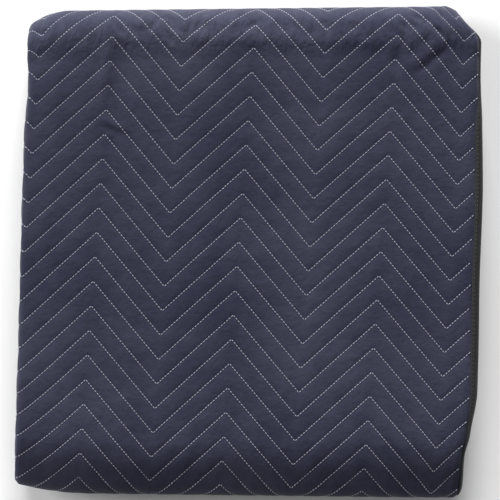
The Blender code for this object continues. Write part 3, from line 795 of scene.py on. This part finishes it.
def build_binding():
    """The tape: its section carried once round the sheet's rim, mitred at the corners."""
    across, along = (stops[6:-6] for stops in sheet_stops())
    section = np.array(tape_section())
    inward, depth = section[:, 0], section[:, 1]
    far_across, far_along = CUT_WIDTH - inward, CUT_LENGTH - inward

    def side(fixed, stops, first, last):
        """Places down one side: a moving coordinate from corner to corner, and the fixed one."""
        moving = np.concatenate((first[None], np.repeat(stops[:, None], len(fixed), axis=1), last[None]))
        return moving, np.broadcast_to(fixed, moving.shape)

    low_u, low_v = side(inward, across, inward, far_across)
    right_v, right_u = side(far_across, along, inward, far_along)
    high_u, high_v = side(far_along, across[::-1], far_across, inward)
    left_v, left_u = side(inward, along[::-1], far_along, inward)
    u = np.concatenate([part[:-1] for part in (low_u, right_u, high_u, left_u)])
    v = np.concatenate([part[:-1] for part in (low_v, right_v, high_v, left_v)])
    points = place(u, v, depth)
    index = np.arange(u.size).reshape(u.shape)
    index = np.concatenate((index, index[:1]))
    index = np.concatenate((index, index[:, :1]), axis=1)
    steps_on = np.linalg.norm(np.diff(points[:, 0], axis=0, prepend=points[:1, 0]), axis=-1)
    run = np.repeat(np.cumsum(steps_on)[:, None], u.shape[1], axis=1)
    values = np.stack((run, np.broadcast_to(inward, u.shape), np.broadcast_to(depth, u.shape)), axis=-1)
    return new_mesh("edge_binding_tape", points.reshape(-1, 3), [quads(index)[:, ::-1]],
                    {"tape": values.reshape(-1, 3)})


def binding_tape():
    """Black ribbed tape: fine ribs square to its length and a firmer woven edge."""
    material, shader, start = new_material("binding_tape")
    tape = attribute(start, "tape")
    run, inward = tape.part(0), tape.part(1)
    rib = (run * (2 * math.pi / 0.0011)).math("SINE")
    cross = (inward * (2 * math.pi / 0.0008)).math("SINE")
    fleck = tape.noise(1400.0, 2.0)
    pale = (fleck * 0.8 + rib * 0.08 + inward.over(0.0070, 0.0078) * 0.25).over(0.25, 0.95)
    sewn = 1 - abs(inward - TAPE_SEAM_INWARD).over(0.0003, 0.0014)
    height = rib * 0.00012 + cross * 0.00005 + fleck * 0.0001 - sewn * 0.0003
    connect(shader, {
        "Base Color": pale.mixed((0.006, 0.006, 0.007, 1), (0.016, 0.017, 0.018, 1)),
        "Roughness": 0.62 + 0.12 * fleck,
        "Normal": start.add("ShaderNodeBump", {}, {"Strength": 0.6, "Distance": 1.0, "Height": height}),
        "Sheen Weight": 0.08,
        "Specular IOR Level": 0.35,
    })
    return material


binding = build_binding()
binding.data.materials.append(binding_tape())
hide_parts("edge_binding")
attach(binding, "root")

# The binding's sewing thread. Dark grey, one row of lockstitches along each flap, near its inner edge.
HEM_STITCH_PITCH = 0.0042
HEM_STITCH_SIZE = 0.8
HEM_STITCH_LIFT = (-0.00015, 0.00008, 0.00008, -0.00015)


def build_binding_thread():
    """Stitches down all four sides on both faces: the same raised lengths, laid along the tape."""
    found = []
    inset = TAPE_SEAM_INWARD
    for length, is_across in ((CUT_WIDTH, True), (CUT_LENGTH, False)):
        middles = np.arange(inset + HEM_STITCH_PITCH, length - inset - HEM_STITCH_PITCH / 2, HEM_STITCH_PITCH)
        for far in (False, True):
            fixed = (CUT_LENGTH if is_across else CUT_WIDTH) - inset if far else inset
            for face in (-1, 1):
                found.append(np.stack((
                    middles if is_across else np.full_like(middles, fixed),
                    np.full_like(middles, fixed) if is_across else middles,
                    np.full_like(middles, float(is_across)),
                    np.full_like(middles, face),
                ), axis=-1))
    u, v, is_across, face = np.concatenate(found).T[:, :, None, None]
    ring = np.array(STITCH_RINGS)[:, None] * STITCH_LENGTH / 2
    full = np.array(STITCH_FULLNESS)[:, None]
    round_it = np.arange(STITCH_SIDES) * (2 * math.pi / STITCH_SIDES)
    aside = STITCH_HALF_WIDTH * HEM_STITCH_SIZE * full * np.cos(round_it)
    rise = STITCH_RISE * HEM_STITCH_SIZE * full * np.sin(round_it) + np.array(HEM_STITCH_LIFT)[:, None]
    level = LAYER / 2 + face * (LAYER / 2 - TAPE_PROUD + rise)
    flip = np.where(is_across > 0, face, -face)
    u_all = u + np.where(is_across > 0, ring, -aside * flip)
    v_all = v + np.where(is_across > 0, -aside * flip, ring)
    points = place(*np.broadcast_arrays(u_all, v_all, level))
    points[..., 2] = np.maximum(points[..., 2], 0)
    along_it = np.broadcast_to(np.array(STITCH_RINGS)[:, None], points.shape[:3])
    values = np.stack((along_it, np.broadcast_to(np.cos(round_it), points.shape[:3]), along_it * 0), axis=-1)
    faces = stitch_faces(len(u), len(STITCH_RINGS), STITCH_SIDES)
    return new_mesh("binding_thread", points.reshape(-1, 3), faces, {"strand": values.reshape(-1, 3)})


hem_thread = build_binding_thread()
hem_thread.data.materials.append(
    thread_material("binding_thread", (0.020, 0.020, 0.022, 1), (0.045, 0.045, 0.048, 1))
)
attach(hem_thread, "root")

# The studio: a plain pale floor, soft light from behind the stack and from its left, and the camera
# straight above it.
FLOOR_SIZE = 60.0
CAMERA_HEIGHT = 2.4
CAMERA_X = -0.00135
CAMERA_Y = -0.00034
CAMERA_ROLL = math.radians(1.7)
OUTLINE_Z = 0.040
VIEW_WIDTH = 0.5
SENSOR = 36.0

# Name, direction that it comes from, width in degrees and strength
LIGHTS = (
    ("back_light", (0.0, 1.0, 0.29), 20, 6.9),
    ("side_light", (-1.0, 0.3, 0.5), 30, 2.4),
)
SKY_STRENGTH = 0.24

half = FLOOR_SIZE / 2
floor_mesh = bpy.data.meshes.new("floor")
floor_corners = [(-half, -half, 0), (half, -half, 0), (half, half, 0), (-half, half, 0)]
floor_mesh.from_pydata(floor_corners, [], [(0, 1, 2, 3)])
floor = bpy.data.objects.new("floor", floor_mesh)
bpy.context.scene.collection.objects.link(floor)
floor_material, floor_shader, _ = new_material("pale_floor")
connect(floor_shader, {"Base Color": (0.92, 0.92, 0.92, 1), "Roughness": 0.6})
floor_mesh.materials.append(floor_material)

world = bpy.data.worlds.new("studio")
world.use_nodes = True
world.node_tree.nodes["Background"].inputs["Color"].default_value = (1, 1, 1, 1)
world.node_tree.nodes["Background"].inputs["Strength"].default_value = SKY_STRENGTH
bpy.context.scene.world = world

for name, spot, spread, strength in LIGHTS:
    light = bpy.data.lights.new(name, "SUN")
    light.angle = math.radians(spread)
    light.energy = strength
    lamp = bpy.data.objects.new(name, light)
    lamp.location = spot
    lamp.rotation_euler = (-Vector(spot)).to_track_quat("-Z", "Y").to_euler()
    bpy.context.scene.collection.objects.link(lamp)

camera_data = bpy.data.cameras.new("camera")
camera_data.sensor_width = SENSOR
camera_data.lens = SENSOR * (CAMERA_HEIGHT - OUTLINE_Z) / VIEW_WIDTH
camera = bpy.data.objects.new("camera", camera_data)
camera.location = (CAMERA_X, CAMERA_Y, CAMERA_HEIGHT)
camera.rotation_euler = (0, 0, CAMERA_ROLL)
bpy.context.scene.collection.objects.link(camera)
bpy.context.scene.camera = camera
bpy.context.scene.view_settings.view_transform = "Standard"
